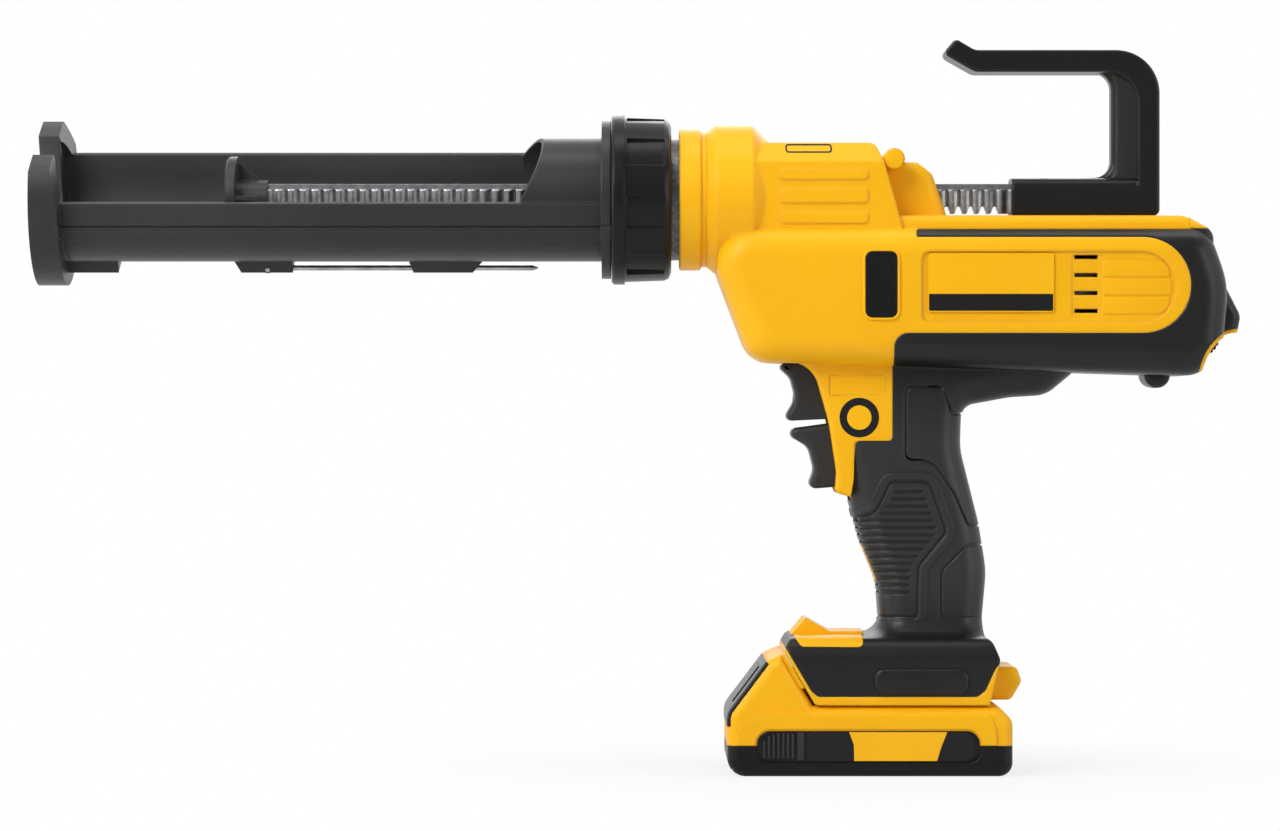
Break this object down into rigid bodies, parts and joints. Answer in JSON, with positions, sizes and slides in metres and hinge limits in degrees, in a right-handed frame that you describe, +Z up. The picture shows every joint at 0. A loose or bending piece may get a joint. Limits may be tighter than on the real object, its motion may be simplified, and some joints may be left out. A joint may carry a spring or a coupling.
{
  "type": "cordless caulking tool",
  "caption": "Battery caulking tool: pistol-grip power unit on a slide-on pack, screwed collar, open cartridge trough, and a toothed push rod with a hooked pull handle.",
  "frame": {"origin": "middle of the flat bottom face of the battery pack", "axes": "+Z up, +X to the rear along the barrel, so the cartridge end points along -X; Y across the tool"},
  "size_m": [0.5252, 0.077, 0.3193],
  "materials": {
    "yellow_shell": "satin moulded",
    "black_plastic": "satin moulded",
    "soft_grip": "fine matt",
    "steel": "machined",
    "cast_grey": "as cast",
    "bronze": "plain",
    "plate": "smooth",
    "cell_wrap": "sleeved",
    "board_green": "lacquered",
    "magnet": "matt",
    "window": "gloss",
    "lead_wire": "smooth"
  },
  "bodies": {
    "power_unit": {"housing_left": "yellow_shell", "housing_right": "yellow_shell", "overmould_left": "soft_grip", "overmould_right": "soft_grip", "side_plates": "yellow_shell", "housing_screws": "steel", "foot_guard": "yellow_shell", "nose_ring": "yellow_shell", "mount_sleeve": "cast_grey", "rack_guides": "bronze", "switch_module": "black_plastic", "hinge_pins": "steel", "gear_frame_left": "cast_grey", "gear_frame_right": "cast_grey", "shaft_bushes": "bronze", "ring_gear": "steel", "gear_case": "cast_grey", "motor_can": "steel", "motor_magnets": "magnet", "motor_end_cap": "black_plastic", "motor_bearings": "steel", "terminal_block": "black_plastic", "power_leads": "lead_wire"},
    "rod": {"feed_rack": "steel", "plunger": "black_plastic", "rod_handle": "black_plastic", "rod_screws": "steel"},
    "feed_drive": {"feed_pinion": "steel", "feed_shaft": "steel"},
    "clutch": {"clutch_gear": "steel"},
    "cross_drive": {"cross_shaft": "steel", "cross_pinion": "steel", "bevel_wheel": "steel"},
    "carrier": {"planet_carrier": "steel", "bevel_pinion": "steel"},
    "planet_1": {"planet_gear_1": "steel"},
    "planet_2": {"planet_gear_2": "steel"},
    "planet_3": {"planet_gear_3": "steel"},
    "rotor": {"motor_rotor": "steel", "sun_pinion": "steel"},
    "upper_trigger": {"speed_trigger": "black_plastic", "trigger_spring": "steel"},
    "lower_trigger": {"release_trigger": "black_plastic"},
    "lock_off": {"lock_off_button": "black_plastic"},
    "dial": {"speed_dial": "black_plastic"},
    "battery": {"battery_upper": "yellow_shell", "battery_lower": "black_plastic", "battery_screws": "steel", "battery_cells": "cell_wrap", "battery_board": "board_green", "battery_bars": "black_plastic", "gauge_window": "window"},
    "latch": {"battery_latch": "black_plastic"},
    "slip_washer": {"thrust_washer": "black_plastic"},
    "collar": {"collar_nut": "black_plastic"},
    "cradle": {"carriage": "black_plastic", "retaining_ring": "black_plastic", "piercing_rod_pin": "steel"},
    "piercer": {"piercing_rod": "steel"}
  },
  "joints": [
    {"name": "rod_slide", "type": "slide", "parent": "power_unit", "child": "rod", "axis": [1, 0, 0], "range_m": [-0.0275, 0.15]},
    {"name": "feed_pinion_spin", "type": "hinge", "parent": "power_unit", "child": "feed_drive", "pos_m": [-0.02, 0, 0.23354], "axis": [0, 1, 0], "range_deg": [-140, 740]},
    {"name": "motor_spin", "type": "hinge", "parent": "power_unit", "child": "rotor", "pos_m": [0.08, 0, 0.2119], "axis": [1, 0, 0], "continuous": true},
    {"name": "carrier_spin", "type": "hinge", "parent": "power_unit", "child": "carrier", "pos_m": [0.03, 0, 0.2119], "axis": [1, 0, 0], "continuous": true},
    {"name": "planet_1_spin", "type": "hinge", "parent": "carrier", "child": "planet_1", "pos_m": [0.05, 0, 0.2239], "axis": [1, 0, 0], "continuous": true},
    {"name": "planet_2_spin", "type": "hinge", "parent": "carrier", "child": "planet_2", "pos_m": [0.05, -0.01039, 0.2059], "axis": [1, 0, 0], "continuous": true},
    {"name": "planet_3_spin", "type": "hinge", "parent": "carrier", "child": "planet_3", "pos_m": [0.05, 0.01039, 0.2059], "axis": [1, 0, 0], "continuous": true},
    {"name": "cross_shaft_spin", "type": "hinge", "parent": "power_unit", "child": "cross_drive", "pos_m": [-0.02, 0, 0.2119], "axis": [0, 1, 0], "continuous": true},
    {"name": "clutch_gear_spin", "type": "hinge", "parent": "power_unit", "child": "clutch", "pos_m": [-0.02, 0.014, 0.23354], "axis": [0, 1, 0], "continuous": true},
    {"name": "trigger_pull", "type": "slide", "parent": "power_unit", "child": "upper_trigger", "axis": [1, 0, 0], "range_m": [0, 0.006], "stiffness_N_per_m": 800, "springref_m": -0.003},
    {"name": "release_pull", "type": "hinge", "parent": "power_unit", "child": "lower_trigger", "pos_m": [-0.0065, 0, 0.147], "axis": [0, -1, 0], "range_deg": [0, 10], "stiffness_Nm_per_rad": 1, "springref_deg": -5.73},
    {"name": "lock_off_slide", "type": "slide", "parent": "power_unit", "child": "lock_off", "axis": [0, 1, 0], "range_m": [-0.002, 0.002]},
    {"name": "speed_dial_turn", "type": "hinge", "parent": "power_unit", "child": "dial", "pos_m": [0.1462, 0, 0.1898], "axis": [0, 1, 0], "range_deg": [-135, 135]},
    {"name": "battery_slide", "type": "slide", "parent": "power_unit", "child": "battery", "axis": [-1, 0, 0], "range_m": [0, 0.085]},
    {"name": "latch_press", "type": "slide", "parent": "battery", "child": "latch", "axis": [-1, 0, 0], "range_m": [0, 0.003], "stiffness_N_per_m": 1200, "springref_m": -0.002},
    {"name": "collar_travel", "type": "slide", "parent": "power_unit", "child": "slip_washer", "axis": [-1, 0, 0], "range_m": [0, 0.014]},
    {"name": "collar_turn", "type": "hinge", "parent": "slip_washer", "child": "collar", "pos_m": [-0.1, 0, 0.25], "axis": [-1, 0, 0], "range_deg": [-10, 1450]},
    {"name": "carriage_swivel", "type": "hinge", "parent": "slip_washer", "child": "cradle", "pos_m": [-0.2, 0, 0.25], "axis": [1, 0, 0], "continuous": true},
    {"name": "piercing_rod_swing", "type": "hinge", "parent": "cradle", "child": "piercer", "pos_m": [-0.263, 0.00827, 0.22055], "axis": [0, 0.891, 0.454], "range_deg": [0, 100]}
  ],
  "couplings": [
    {"joint": "feed_pinion_spin", "follows": "rod_slide", "rad_per_m": 85.323},
    {"joint": "carrier_spin", "follows": "motor_spin", "ratio": 0.2},
    {"joint": "cross_shaft_spin", "follows": "motor_spin", "ratio": -0.1},
    {"joint": "clutch_gear_spin", "follows": "motor_spin", "ratio": 0.05},
    {"joint": "collar_turn", "follows": "collar_travel", "rad_per_m": 1795.2},
    {"joint": "planet_1_spin", "follows": "motor_spin", "ratio": -0.53333},
    {"joint": "planet_2_spin", "follows": "motor_spin", "ratio": -0.53333},
    {"joint": "planet_3_spin", "follows": "motor_spin", "ratio": -0.53333}
  ]
}
